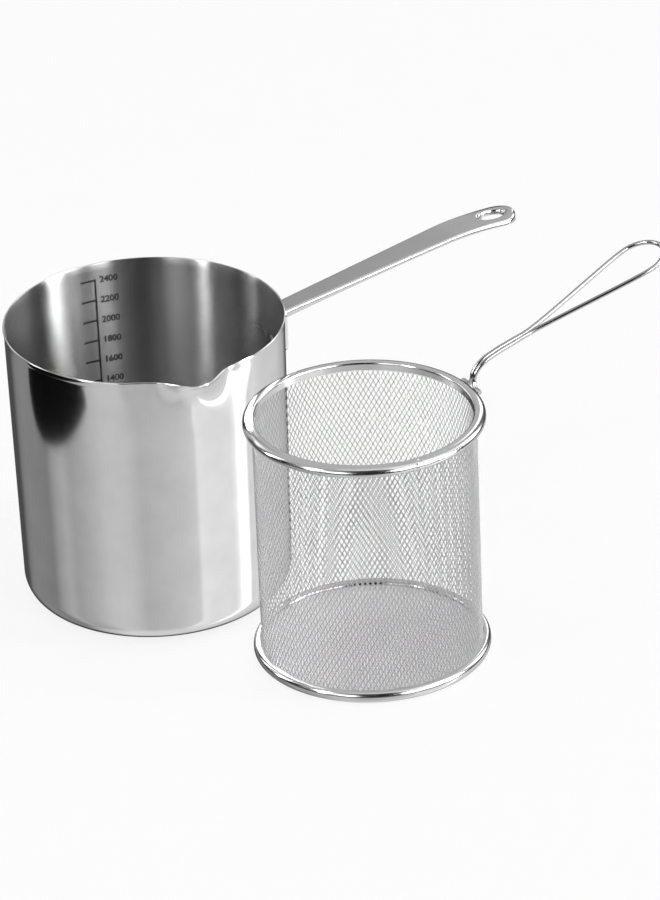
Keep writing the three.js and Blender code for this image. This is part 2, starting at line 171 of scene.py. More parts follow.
# Measuring scale inside the pot
SCALE_BEARING = math.radians(85.5)
SCALE_TOP_BELOW_RIM = 0.0094
SCALE_TOP = POT_TOP - SCALE_TOP_BELOW_RIM
SCALE_STEP = 0.012
SCALE_TOP_ML = 2400
SCALE_STEP_ML = 200
SCALE_MARKS = 11
SCALE_LINE_WIDTH = 0.0011
SCALE_LINE_STEPS = 2
SCALE_TICK_LENGTH = 0.008
SCALE_TICK_WIDTH = 0.0011
SCALE_TICK_STEPS = 8
SCALE_DIGIT_HEIGHT = 0.0036
SCALE_DIGIT_SHARE = 0.7  # a digit's height in the size of its font
SCALE_DIGIT_STEPS = 3  # of each curve in a digit
SCALE_DIGIT_GAP = 0.0026
SCALE_DIGIT_BOLDNESS = 0.00016
SCALE_PROUD = 0.00006

# Spot welds that hold the bracket, and the other weld beads
SPOT_WELD_BEARINGS = [math.radians(a) for a in (9.1, 3.3, -2.5, -8.3)]
SPOT_WELD_HEIGHT = 0.1285
SPOT_WELD_PROFILE = [  # radius and height
    (0.0016, 0.0), (0.0013, 0.00007), (0.0009, 0.00003), (0.0004, 0.00004), (0.0001, 0.00005),
]
SPOT_WELD_SIDES = 20
BEAD_RADIUS = 0.0005
BEAD_SIDES = 12
BEAD_UP = (0.31, 0.17, 1)  # a direction that no bead runs in
BEAD_FULLNESS = 6  # the higher, the blunter its ends
BEAD_END = 0.02
BEAD_RIPPLES = 40
STRAP_WELD_RIPPLE = 0.12
BASKET_WELD_RIPPLE = 0.15
FOOT_WELD_RADIUS = 0.9 * BEAD_RADIUS
FOOT_WELD_HEIGHTS = (("_upper", 0.8), ("_lower", -0.8))  # in radii of the wire
FOOT_WELD_POINTS = 16
TACK_START = -0.12  # in lengths of the neck, from its end
TACK_END = -0.01
TACK_POINTS = 12
WELD_DISTANCE = 0.00001  # points this near to each other are joined
BRACKET_CORNER = 0.005
BRACKET_CORNER_STEPS = 10
BRACKET_EDGE = 0.0007
BRACKET_EDGE_STEPS = 6

# Camera, fitted to the photograph
IMAGE_WIDTH = 660
FOCAL_PIXELS = 5900
SENSOR_WIDTH_MM = 36
CAMERA_TURN = math.radians(-26.6)
CAMERA_PITCH = math.radians(27.86)
CAMERA_ROLL = -0.0424
CAMERA_DISTANCE = 3.158
CAMERA_TARGET_RIGHT = 0.0954
CAMERA_TARGET_UP = -0.0045
CAMERA_TARGET_HEIGHT = 0.08
CAMERA_CLIP = (0.05, 50)

# Studio
FLOOR_WHITE_SHARE = 0.8  # of plain white in what the camera sees of the floor
FLOOR_HALF_SIZE = 6.0
FLOOR_SINK = 0.0001
CARD_X = (-0.75, -0.229)  # before the camera's turn, as the other places on the floor
CARD_Y = (-0.235, 0.068)
CARD_LEAN = 0.14  # how far its edge beside the pot draws back, for its length
CARD_NEAR_CORNER = 0.006
CARD_NEAR_STEPS = 8
CARD_FAR_CORNER = (0.06, 0.085)
CARD_FAR_STEPS = 23
CARD_HEIGHT = 0.0005
FRONT_CARD_X = (-0.4, 1.3)
FRONT_CARD_Y = (-2.0, -0.46)
LIGHTS = [("key", (1.39, -1.05, 1.7), 9), ("fill", (-1.6, -0.32, 1.5), 5)]  # name, place, power
LIGHT_TARGET = (0.05, -0.05, 0.08)
LIGHT_SIZE = (0.3, 1.0)

# Finishes
NOISE_LOW = 0.3  # the values of a noise that count as its low and its high end
NOISE_HIGH = 0.7
LEAN_NOISE = (0.2, 0.8)  # the same for brushed lines that lean the surface
CLOUD_SCALE = 60.0  # of the faint cloudiness in the steel's colour
CLOUD_DARK = 0.95
CLOUD_LIGHT = 1.03
BUMP_STRENGTH = 0.5
ALONG_THE_LINES = 0.25  # a quarter turn of the stretched highlight


def turned(x, y, angle):
    """A point turned about Z."""
    return x * math.cos(angle) - y * math.sin(angle), x * math.sin(angle) + y * math.cos(angle)


# Mesh helpers


def grid_faces(rows, columns, wrap_rows=False, wrap_columns=False, turned_over=False):
    """The quads of a grid of points kept row after row."""
    r, c = np.meshgrid(
        np.arange(rows if wrap_rows else rows - 1),
        np.arange(columns if wrap_columns else columns - 1),
        indexing="ij",
    )
    r_next, c_next = (r + 1) % rows, (c + 1) % columns
    corners = [r * columns + c, r * columns + c_next, r_next * columns + c_next, r_next * columns + c]
    if turned_over:
        corners.reverse()
    return np.stack(corners, axis=-1).reshape(-1, 4).tolist()


def tube_faces(rows, sides):
    """The quads of a tube of rings, and a face that closes each end."""
    last = (rows - 1) * sides
    ends = [list(range(sides))[::-1], list(range(last, last + sides))]
    return grid_faces(rows, sides, wrap_columns=True) + ends


def shifted(faces, start):
    """Faces whose points come after start others."""
    return [[start + k for k in face] for face in faces]


def add_object(name, data):
    thing = bpy.data.objects.new(name, data)
    bpy.context.scene.collection.objects.link(thing)
    return thing


def add_piece(name, points, faces, material, body, replaced=(), sharp_angle=None):
    """A mesh that rides on a body. The basket is left out of mirror images, as in the photograph."""
    mesh = bpy.data.meshes.new(name)
    mesh.from_pydata(np.asarray(points, float).reshape(-1, 3).tolist(), [], faces)
    mesh.validate()
    mesh.shade_smooth()
    if sharp_angle:
        mesh.set_sharp_from_angle(angle=math.radians(sharp_angle))
    mesh.materials.append(material)
    piece = add_object(name, mesh)
    piece.visible_glossy = body != "basket"
    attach(piece, body)
    if replaced:
        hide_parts(*replaced)
    return piece


def arc(centre_x, centre_y, radius, start, end, steps, tall=None):
    """Points of a round corner in a profile, or of an oval one where tall gives its upright radius."""
    tall = tall or radius
    angles = np.linspace(start, end, steps + 1)
    return [(centre_x + radius * math.cos(a), centre_y + tall * math.sin(a)) for a in angles]


def revolved(profile, facets):
    """Rings of points: a profile of (radius, height) at each of the facets round the Z axis."""
    profile = np.array(profile)
    angles = np.linspace(0, FULL_TURN, facets, endpoint=False)
    x = np.outer(np.cos(angles), profile[:, 0])
    y = np.outer(np.sin(angles), profile[:, 0])
    z = np.tile(profile[:, 1], (facets, 1))
    return np.stack([x, y, z], axis=-1)


def rings_round(path, radius, sides, side, lift):
    """Rings of points round a path, each in the plane of its side and lift directions."""
    angles = np.linspace(0, FULL_TURN, sides, endpoint=False)
    return (
        path[:, None, :]
        + radius * np.cos(angles)[None, :, None] * side[:, None, :]
        + radius * np.sin(angles)[None, :, None] * lift[:, None, :]
    )


def tube(path, radius, sides, up):
    """Rings round a path, one for each of its points, held level with up."""
    path = np.asarray(path, float)
    along = np.gradient(path, axis=0)
    side = np.cross(np.broadcast_to(up, path.shape), along)
    side /= np.linalg.norm(side, axis=1, keepdims=True)
    lift = np.cross(along, side)
    lift /= np.linalg.norm(lift, axis=1, keepdims=True)
    return rings_round(path, radius, sides, side, lift)


def weld_points(piece):
    """Joins points that lie on each other."""
    work = bmesh.new()
    work.from_mesh(piece.data)
    bmesh.ops.remove_doubles(work, verts=work.verts, dist=WELD_DISTANCE)
    bmesh.ops.recalc_face_normals(work, faces=work.faces)
    work.to_mesh(piece.data)
    work.free()


# Materials


def connect(tree, node, inputs):
    """Fills a node's sockets with plain values or with other nodes' outputs."""
    for key, value in inputs.items():
        if isinstance(value, bpy.types.NodeSocket):
            tree.links.new(value, node.inputs[key])
        else:
            node.inputs[key].default_value = value


def add_node(tree, kind, inputs=None, **settings):
    node = tree.nodes.new("ShaderNode" + kind)
    for key, value in settings.items():
        setattr(node, key, value)
    connect(tree, node, inputs or {})
    return node


def node_material(name):
    material = bpy.data.materials.new(name)
    material.use_nodes = True
    tree = material.node_tree
    tree.nodes.clear()
    shader = add_node(tree, "BsdfPrincipled")
    add_node(tree, "OutputMaterial", {"Surface": shader.outputs["BSDF"]})
    return material, tree, shader


def stretched_noise(tree, scale, detail=2.0):
    """Noise in the object's own space, with its own scale along each axis, per metre."""
    place = add_node(tree, "TexCoord").outputs["Object"]
    vector = add_node(tree, "Mapping", {"Vector": place, "Scale": scale}).outputs["Vector"]
    return add_node(tree, "TexNoise", {"Vector": vector, "Scale": 1.0, "Detail": detail}).outputs["Fac"]


def ramp(tree, factor, stops):
    """A colour ramp of (place, grey) stops."""
    node = add_node(tree, "ValToRGB", {"Fac": factor})
    elements = node.color_ramp.elements
    while len(elements) < len(stops):
        elements.new(0.5)
    for element, (place, grey) in zip(elements, stops):
        element.position = place
        element.color = (grey, grey, grey, 1)
    return node.outputs["Color"]


def map_range(tree, value, low, high, to_low, to_high):
    inputs = {"Value": value, "From Min": low, "From Max": high, "To Min": to_low, "To Max": to_high}
    return add_node(tree, "MapRange", inputs).outputs["Result"]


def leaning_normal(tree, lines, lean):
    """The surface's normal, leaned up and down by the brushed lines."""
    normal = add_node(tree, "NewGeometry").outputs["Normal"]
    push = add_node(tree, "CombineXYZ", {"Z": map_range(tree, lines, *LEAN_NOISE, -lean, lean)})
    total = add_node(tree, "VectorMath", {0: normal, 1: push.outputs["Vector"]}, operation="ADD")
    unit = add_node(tree, "VectorMath", {0: total.outputs["Vector"]}, operation="NORMALIZE")
    return unit.outputs["Vector"]


def steel(name, grey, roughness, brush, depth=0.0, anisotropic=0.0, lean=0.0, spread=0.17):
    """Bare steel with brushed lines and a faint cloudiness in its colour. Brush is how fine the lines
    are along each axis, depth how high they stand, and spread their share in the roughness. Where
    lean is given, they lean the surface instead of standing up from it."""
    material, tree, shader = node_material(name)
    lines = stretched_noise(tree, brush, detail=3.0)
    clouds = stretched_noise(tree, (CLOUD_SCALE, CLOUD_SCALE, CLOUD_SCALE))
    smoother, rougher = roughness * (1 - spread), roughness * (1 + spread)
    if lean:
        normal = leaning_normal(tree, lines, lean)
    else:
        bump = add_node(tree, "Bump", {"Strength": BUMP_STRENGTH, "Distance": depth, "Height": lines})
        normal = bump.outputs["Normal"]
    connect(tree, shader, {
        "Metallic": 1.0,
        "Base Color": ramp(tree, clouds, [(NOISE_LOW, grey * CLOUD_DARK), (NOISE_HIGH, grey * CLOUD_LIGHT)]),
        "Roughness": map_range(tree, lines, NOISE_LOW, NOISE_HIGH, smoother, rougher),
        "Normal": normal,
    })
    if anisotropic:
        tangent = add_node(tree, "Tangent", direction_type="RADIAL", axis="Z").outputs["Tangent"]
        connect(tree, shader, {
            "Anisotropic": anisotropic, "Anisotropic Rotation": ALONG_THE_LINES, "Tangent": tangent,
        })
    return material


def matt_material(name, grain, tones, roughness, specular):
    """A surface without metal, whose grey goes between two tones with a fine grain."""
    material, tree, shader = node_material(name)
    tone = ramp(tree, stretched_noise(tree, (grain, grain, grain)), tones)
    connect(tree, shader, {"Base Color": tone, "Roughness": roughness, "Specular IOR Level": specular})
    return material


POT_OUTSIDE = steel("pot_outside_steel", grey=0.72, roughness=0.1, brush=(40, 40, 4000), depth=0.000003)
POT_INSIDE = steel(
    "pot_inside_steel", grey=0.5, roughness=0.27, brush=(15, 15, 2000),
    anisotropic=1.0, lean=0.002, spread=0.012,
)
STRAP_STEEL = steel("strap_steel", grey=0.62, roughness=0.2, brush=(50, 3000, 3000), depth=0.000004)
HOOP_STEEL = steel("hoop_steel", grey=0.7, roughness=0.16, brush=(200, 200, 3000), depth=0.000004)
WIRE_STEEL = steel("wire_steel", grey=0.55, roughness=0.14, brush=(600, 600, 600), depth=0.000004)
MESH_STEEL = steel("mesh_steel", grey=0.41, roughness=0.5, brush=(1500, 1500, 1500), depth=0.000004)
WELD_STEEL = steel("weld_steel", grey=0.45, roughness=0.4, brush=(900, 900, 900), depth=0.00003)
ETCHED_BLACK = matt_material(
    "etched_black", grain=900, tones=[(0.35, 0.012), (0.65, 0.035)], roughness=0.55, specular=0.5
)


# Pot shell


def wall_radius(height):
    """Radius of the outer wall."""
    share = (height - BASE_CORNER) / (FLARE_FOOT - BASE_CORNER)
    return WALL_FOOT_RADIUS + WALL_TAPER * share


def swell(offset, half_width):
    """1 at its middle, falling smoothly to 0 a half width away."""
    share = np.minimum(1, np.abs(offset) / half_width)
    return (1 + np.cos(np.pi * share)) / 2


def eased(share):
    """A share from 0 to 1 that sets off and arrives gently."""
    return share * share * (3 - 2 * share)


def spout_push(angle, height):
    """How far the wall is pushed out at an angle from the spout and a height."""
    rise = np.maximum(0, (height - FLARE_FOOT + SPOUT_DEPTH) / (SPOUT_DEPTH + LIP_HEIGHT))
    flank = SPOUT_FLANK_SHARE * SPOUT_HALF_ANGLE
    out = SPOUT_REACH * swell(angle, SPOUT_HALF_ANGLE)
    drawn = SPOUT_DRAW_IN * swell(np.abs(angle) - flank, SPOUT_HALF_ANGLE / 2)
    return (out - drawn) * rise ** SPOUT_FADE


def pot_profile():
    """The shell's section from the middle of its underside, up the outside and down the inside."""
    line = WALL_FOOT_RADIUS - BASE_CORNER
    lip_line = RIM_RADIUS - POT_SHEET / 2
    heights = list(np.linspace(BASE_CORNER, FLARE_FOOT - SPOUT_DEPTH, WALL_POINTS)[1:-1])
    heights += list(np.linspace(FLARE_FOOT - SPOUT_DEPTH, FLARE_FOOT, SPOUT_POINTS))
    discs = np.linspace(POT_CENTRE, line, FLOOR_POINTS)[:-1]
    outside = [(r, 0) for r in discs]
    outside += arc(line, BASE_CORNER, BASE_CORNER, -QUARTER_TURN, 0, CORNER_STEPS)
    outside += [(wall_radius(z), z) for z in heights]
    lip = arc(lip_line, POT_TOP - POT_SHEET / 2, POT_SHEET / 2, 0, 2 * QUARTER_TURN, LIP_STEPS)
    inside = [(wall_radius(z) - POT_SHEET, z) for z in reversed(heights)]
    inside += arc(line, BASE_CORNER, BASE_CORNER - POT_SHEET, 0, -QUARTER_TURN, CORNER_STEPS)
    inside += [(r, POT_SHEET) for r in reversed(discs)]
    return outside + lip + inside


def build_pot():
    """The shell, with its floor and inner wall in the steel of the inside."""
    profile = pot_profile()
    rings = revolved(profile, POT_FACETS)
    radius = np.hypot(rings[..., 0], rings[..., 1])
    bearing = np.arctan2(rings[..., 1], rings[..., 0])
    angle = (bearing - SPOUT_BEARING + math.pi) % FULL_TURN - math.pi
    reach = radius + spout_push(angle, rings[..., 2])
    rings[..., 0] = reach * np.cos(bearing)
    rings[..., 1] = reach * np.sin(bearing)
    columns = len(profile)
    faces = grid_faces(POT_FACETS, columns, wrap_rows=True, turned_over=True)
    under = [r * columns for r in range(POT_FACETS)]
    floor = [r * columns + columns - 1 for r in range(POT_FACETS)]
    faces += [under[::-1], floor]
    pot = add_piece("pot_body", rings, faces, POT_OUTSIDE, "pot", ["pot_shell"])
    pot.data.materials.append(POT_INSIDE)
    for face in pot.data.polygons:
        middle, normal = face.center, face.normal
        inward = normal.x * middle.x + normal.y * middle.y < 0
        on_floor = normal.z > 0.5 and middle.z < POT_TOP / 2
        face.material_index = int(inward or on_floor)


# Measuring scale


def on_inner_wall(points, bearing):
    """Bends flat (sideways, height, depth) points onto the pot's inner wall. Sideways runs to the
    right as seen from inside, and depth is how far a point stands off the wall."""
    points = np.asarray(points, float)
    radius = wall_radius(points[:, 1]) - POT_SHEET - points[:, 2]
    angle = bearing - points[:, 0] / (WALL_TOP_RADIUS - POT_SHEET)
    return np.stack([radius * np.cos(angle), radius * np.sin(angle), points[:, 1]], axis=-1)


def strip(left, right, bottom, top, steps):
    """A thin closed slab in flat wall coordinates, cut into steps so that it can bend."""
    back, front = -SCALE_PROUD, SCALE_PROUD
    points = []
    for x in np.linspace(left, right, steps + 1):
        points += [(x, bottom, back), (x, top, back), (x, top, front), (x, bottom, front)]
    return points, tube_faces(steps + 1, 4)


def build_scale():
    """The upright line of the scale, and its marks to the left."""
    points, faces = [], []
    bottom = SCALE_TOP - (SCALE_MARKS - 1) * SCALE_STEP
    half, half_tick = SCALE_LINE_WIDTH / 2, SCALE_TICK_WIDTH / 2
    slabs = [strip(-half, half, bottom - half_tick, SCALE_TOP + half_tick, SCALE_LINE_STEPS)]
    far = -half - SCALE_TICK_LENGTH
    for i in range(SCALE_MARKS):
        z = SCALE_TOP - i * SCALE_STEP
        slabs.append(strip(far, -half, z - half_tick, z + half_tick, SCALE_TICK_STEPS))
    for slab_points, slab_faces in slabs:
        faces += shifted(slab_faces, len(points))
        points += slab_points
    placed = on_inner_wall(points, SCALE_BEARING)
    marks = add_piece("scale_marks", placed, faces, ETCHED_BLACK, "pot", sharp_angle=30)
    weld_points(marks)


def build_numerals():
    """Plain numbers to the right of the scale, each level with its mark."""
    points, faces = [], []
    for i in range(SCALE_MARKS):
        words = bpy.data.curves.new("numeral", "FONT")
        words.body = str(SCALE_TOP_ML - i * SCALE_STEP_ML)
        words.size = SCALE_DIGIT_HEIGHT / SCALE_DIGIT_SHARE
        words.extrude = SCALE_PROUD
        words.offset = SCALE_DIGIT_BOLDNESS
        words.resolution_u = SCALE_DIGIT_STEPS
        flat = add_object("numeral", words)
        bpy.context.view_layer.update()
        mesh = flat.to_mesh()
        faces += shifted([face.vertices for face in mesh.polygons], len(points))
        foot = SCALE_TOP - i * SCALE_STEP - SCALE_DIGIT_HEIGHT / 2
        points += [(v.co.x + SCALE_DIGIT_GAP, v.co.y + foot, v.co.z) for v in mesh.vertices]
        flat.to_mesh_clear()
        bpy.data.objects.remove(flat)
        bpy.data.curves.remove(words)
    placed = on_inner_wall(points, SCALE_BEARING)
    add_piece("scale_numerals", placed, faces, ETCHED_BLACK, "pot", sharp_angle=30)


# Strap handle


def strap_top(x):
    """Height of the strap's middle line, which rises, and droops before the tip."""
    bent = np.maximum(0, (x - STRAP_REACH + STRAP_DROOP_LENGTH) / STRAP_DROOP_LENGTH)
    return STRAP_ROOT_TOP + STRAP_RISE * x / STRAP_REACH - STRAP_DROOP * bent * bent


def strap_depth(x):
    """How far the strap's flanges reach down, least at its waist."""
    waist = STRAP_WAIST_SHARE * STRAP_REACH
    end = np.where(x < waist, STRAP_ROOT_DEPTH, STRAP_TIP_DEPTH)
    span = np.where(x < waist, waist, STRAP_REACH - waist)
    share = np.abs(x - waist) / span
    return STRAP_WAIST_DEPTH + (end - STRAP_WAIST_DEPTH) * share * share


def strap_face(x, y):
    """Height of the strap's upper face, which grows a crown towards the tip."""
    grown = eased(np.clip((x - STRAP_REACH + STRAP_DROOP_LENGTH) / STRAP_DROOP_LENGTH, 0, 1))
    return strap_top(x) - STRAP_CROWN * grown * (y / (STRAP_TIP_WIDTH / 2)) ** 2


def dish_drop(x, y):
    """How far the strap's face is pressed down round the hang hole."""
    along = (x - STRAP_REACH + HANG_HOLE_FROM_TIP) / (HANG_HOLE_LENGTH / 2)
    share = np.hypot(along, y / (HANG_HOLE_WIDTH / 2))
    inward = np.clip((HANG_DISH_SHARE - share) / (HANG_DISH_SHARE - 1), 0, 1)
    return HANG_DISH_DEPTH * (1 - np.sqrt(1 - inward * inward))


def strap_edge(inset):
    """Half of the strap's outline from the bracket round to the tip, moved in by inset, which is
    one number or a number for each point."""
    nose, straight = STRAP_TIP_WIDTH / 2, STRAP_STRAIGHT_STEPS
    centre = STRAP_REACH - nose
    inset = np.broadcast_to(inset, straight + STRAP_NOSE_STEPS + 1)
    x = np.linspace(0, centre, straight + 1)[:-1]
    y = (STRAP_ROOT_WIDTH + (STRAP_TIP_WIDTH - STRAP_ROOT_WIDTH) * x / centre) / 2 - inset[:straight]
    angles = np.linspace(QUARTER_TURN, 0, STRAP_NOSE_STEPS + 1)
    nose_x = centre + (nose - inset[straight:]) * np.cos(angles)
    nose_y = (nose - inset[straight:]) * np.sin(angles)
    return np.concatenate([x, nose_x]), np.concatenate([y, nose_y])


def build_strap():
    """The stamped channel: a pressed face with its hang hole, round shoulders and two flanges. One
    half is made, from an outer and an inner surface, and mirrored."""
    edge_x = strap_edge(0)[0]
    hole_middle = STRAP_REACH - HANG_HOLE_FROM_TIP
    hole_start = hole_middle - HANG_HOLE_LENGTH / 2
    first = int(np.argmax(edge_x >= hole_start))
    rows = len(edge_x)
    target_x, target_y = edge_x.copy(), np.zeros(rows)
    turn = np.linspace(math.pi, 0, rows - first)
    target_x[first:] = hole_middle + HANG_HOLE_LENGTH / 2 * np.cos(turn)
    target_y[first:] = HANG_HOLE_WIDTH / 2 * np.sin(turn)

    def surface(sheet):
        """Columns of points from the flange's foot over the shoulder to the middle or the hole."""
        past_start = (edge_x - STRAP_REACH + STRAP_TIP_WIDTH) / STRAP_SHOULDER_GROWTH + 1
        grown = eased(np.clip(past_start, 0, 1))
        radius = STRAP_SHOULDER + (STRAP_TIP_SHOULDER - STRAP_SHOULDER) * grown - sheet / 2
        x, y = strap_edge(sheet)
        top, foot = strap_face(x, y) - sheet - radius, strap_top(x) - strap_depth(x)
        columns = [np.stack([x, y, foot + (top - foot) * share], -1) for share in (0, 0.5)]
        for angle in np.linspace(0, QUARTER_TURN, STRAP_SHOULDER_STEPS + 1):
            x, y = strap_edge(sheet + radius * (1 - math.cos(angle)))
            z = strap_face(x, y) - sheet - radius * (1 - math.sin(angle))
            columns.append(np.stack([x, y, z], -1))
        shoulder = columns[-1]
        for share in np.linspace(0, 1, STRAP_FACE_STEPS + 1)[1:]:
            x = shoulder[:, 0] + (target_x - shoulder[:, 0]) * share
            y = shoulder[:, 1] + (target_y - shoulder[:, 1]) * share
            columns.append(np.stack([x, y, strap_face(x, y) - sheet - dish_drop(x, y)], -1))
        return columns

    outer, inner = surface(0), surface(STRAP_SHEET)
    columns = outer + inner[::-1]
    half = np.stack(columns, axis=1)
    half[..., 0] += STRAP_START
    count = len(columns)
    seam = len(outer) - 1
    faces = [
        face for face in grid_faces(rows, count, wrap_columns=True)
        if not (face[0] % count == seam and face[0] // count < first)
    ]
    faces += [list(range(count))[::-1]]
    mirrored = half * np.array([1, -1, 1])
    other = shifted([face[::-1] for face in faces], rows * count)
    points = np.concatenate([half.reshape(-1, 3), mirrored.reshape(-1, 3)])
    strap = add_piece(
        "strap_handle", points, faces + other, STRAP_STEEL, "pot", ["pot_handle"],
        sharp_angle=40,
    )
    weld_points(strap)


# Bracket and welds


def rounded_outline(half_wide, half_tall, corner, inset):
    """A rounded rectangle round the origin, moved in by inset."""
    radius = corner - inset
    x, y = half_wide - corner, half_tall - corner
    corners = [(x, y, 0), (-x, y, QUARTER_TURN), (-x, -y, 2 * QUARTER_TURN), (x, -y, 3 * QUARTER_TURN)]
    return [
        point for corner_x, corner_y, start in corners
        for point in arc(corner_x, corner_y, radius, start, start + QUARTER_TURN, BRACKET_CORNER_STEPS)
    ]


def build_bracket():
    """The plate that carries the strap, with its pressed round edge."""
    low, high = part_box("handle_bracket")
    half_wide, half_tall, middle = (high.y - low.y) / 2, (high.z - low.z) / 2, (high.z + low.z) / 2
    edge = BRACKET_EDGE
    layers = [(low.x, 0)] + arc(high.x - edge, edge, edge, -QUARTER_TURN, 0, BRACKET_EDGE_STEPS)
    rings = [
        [(x, y, z + middle) for y, z in rounded_outline(half_wide, half_tall, BRACKET_CORNER, inset)]
        for x, inset in layers
    ]
    faces = tube_faces(len(layers), len(rings[0]))
    add_piece(
        "bracket_plate", rings, faces, POT_OUTSIDE, "pot", ["handle_bracket"],
        sharp_angle=50,
    )


def build_spot_welds():
    """The round marks that spot welding leaves, on the plate and on the wall behind it."""
    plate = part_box("handle_bracket")[1].x
    wall = wall_radius(SPOT_WELD_HEIGHT) - POT_SHEET
    reach, proud = np.array(SPOT_WELD_PROFILE).T[:, :, None]
    turn = np.linspace(0, FULL_TURN, SPOT_WELD_SIDES, endpoint=False)
    aside, up = reach * np.cos(turn), reach * np.sin(turn)
    quads = tube_faces(*aside.shape)
    points, faces = [], []
    for bearing in SPOT_WELD_BEARINGS:
        on_plate = (plate + proud + 0 * aside, wall * math.sin(bearing) + aside, SPOT_WELD_HEIGHT + up)
        place = bearing + aside / wall
        inward = wall - proud
        on_wall = (inward * np.cos(place), inward * np.sin(place), SPOT_WELD_HEIGHT - up)
        for mark in (on_plate, on_wall):
            faces += shifted(quads, len(points))
            points += np.stack(mark, axis=-1).reshape(-1, 3).tolist()
    add_piece("spot_welds", points, faces, WELD_STEEL, "pot")


def add_bead(name, path, radius, ripple, body):
    """A weld bead along a path: a tube of rings whose thickness ripples and closes at both ends."""
    path = np.asarray(path, float)
    rings = tube(path, 1, BEAD_SIDES, BEAD_UP)
    share = np.linspace(0, 1, len(path))
    rounded = np.sqrt(np.maximum(BEAD_END, 1 - (2 * share - 1) ** BEAD_FULLNESS))
    thickness = radius * rounded * (1 + ripple * np.sin(BEAD_RIPPLES * share))
    rings = path[:, None, :] + (rings - path[:, None, :]) * thickness[:, None, None]
    if body == "basket":
        rings = basket_points(rings)
    add_piece(name, rings, tube_faces(len(path), BEAD_SIDES), WELD_STEEL, body)


def build_strap_weld():
    """The bead that joins the strap's root to the plate."""
    x = STRAP_START - SEAT_GAP / 2
    top, foot = STRAP_ROOT_TOP, STRAP_ROOT_TOP - STRAP_ROOT_DEPTH
    half, corner = STRAP_ROOT_WIDTH / 2, STRAP_SHOULDER
    side_points, corner_steps, top_points = 8, 6, 24
    left_corner = arc(half - corner, top - corner, corner, 0, QUARTER_TURN, corner_steps)
    path = [(x, -half, z) for z in np.linspace(foot, top - corner, side_points)[:-1]]
    path += [(x, -y, z) for y, z in left_corner]
    path += [(x, y, top) for y in np.linspace(corner - half, half - corner, top_points)[1:-1]]
    path += [(x, y, z) for y, z in reversed(left_corner)]
    path += [(x, half, z) for z in np.linspace(top - corner, foot, side_points)[1:]]
    add_bead("strap_root_weld", path, BEAD_RADIUS, STRAP_WELD_RIPPLE, "pot")


# Basket


def basket_points(points):
    """Points of the basket's own space, placed in the frame."""
    points = np.asarray(points, float)
    x, y = turned(points[..., 0], points[..., 1], BASKET_TURN)
    return np.stack([x + BASKET_CENTRE.x, y + BASKET_CENTRE.y, points[..., 2]], axis=-1)


def hoop_profile(radius, tall, shoulder, edge, leg_bottom):
    """Section of a rolled hoop that opens downwards, with its top at height 0: along the outside from
    the slot for the mesh to the leg inside the mesh, and back along the sheet's inner face."""
    slot_outer = MESH_RADIUS + MESH_THICKNESS / 2 + SEAT_GAP
    left = MESH_RADIUS - MESH_THICKNESS / 2 - SEAT_GAP - HOOP_SHEET
    leg, (wide, high) = HOOP_LEG, shoulder
    thin_edge, thin_leg, thin_wide, thin_high = (r - HOOP_SHEET for r in (edge, leg, wide, high))
    edge_steps, shoulder_steps, leg_steps = OUTER_STEPS
    outer = arc(radius - edge, edge - tall, edge, -QUARTER_TURN, 0, edge_steps)
    outer += arc(radius - wide, -high, wide, 0, QUARTER_TURN, shoulder_steps, high)[1:]
    outer += arc(left + leg, -leg, leg, QUARTER_TURN, 2 * QUARTER_TURN, leg_steps)
    edge_steps, shoulder_steps, leg_steps = INNER_STEPS
    inner = arc(left + leg, -leg, thin_leg, 2 * QUARTER_TURN, QUARTER_TURN, leg_steps)
    inner += arc(radius - wide, -high, thin_wide, QUARTER_TURN, 0, shoulder_steps, thin_high)[:-1]
    inner += arc(radius - edge, edge - tall, thin_edge, 0, -QUARTER_TURN, edge_steps)
    leg_end = [(left, leg_bottom), (left + HOOP_SHEET, leg_bottom)]
    return [(slot_outer, -tall)] + outer + leg_end + inner + [(slot_outer, HOOP_SHEET - tall)]


def joint_proud(bearing):
    """How far the rim hoop's strip stands out at a bearing: the weld, then the tapering tab."""
    weld = JOINT_PROUD * swell(bearing - JOINT_BEARING, JOINT_HALF_ANGLE)
    along = np.clip((bearing - TAB_START) / (TAB_END - TAB_START), 0, 1)
    on_tab = (bearing > TAB_START) & (bearing < TAB_END)
    sink = JOINT_SINK * swell(bearing - JOINT_BEARING, JOINT_SINK_HALF_ANGLE)
    return weld + np.where(on_tab, TAB_PROUD * np.sqrt(1 - along), 0) - sink


def stand_out(rings, profile, core):
    """Moves the outside of a hoop's rings away from its core at the strip's joint."""
    away = np.array(profile) - np.array(core)
    reach = np.linalg.norm(away, axis=1, keepdims=True)
    away = np.where(reach > SKIN_REACH, away / reach, 0)
    bearing = np.arctan2(rings[..., 1], rings[..., 0])
    proud = joint_proud(bearing + BASKET_TURN)
    rings[..., 0] += proud * away[:, 0] * np.cos(bearing)
    rings[..., 1] += proud * away[:, 0] * np.sin(bearing)
    rings[..., 2] += proud * away[:, 1]
    return rings


def core_line(hoop_radius):
    """Radius of a core wire's middle line, halfway between the mesh and its hoop's outer skin."""
    return (MESH_RADIUS + MESH_THICKNESS / 2 + hoop_radius - HOOP_SHEET) / 2


def add_hoop(name, rings, material, node, sharp_angle=None):
    faces = grid_faces(*rings.shape[:2], wrap_rows=True, wrap_columns=True, turned_over=True)
    add_piece(name, basket_points(rings), faces, material, "basket", [node], sharp_angle)


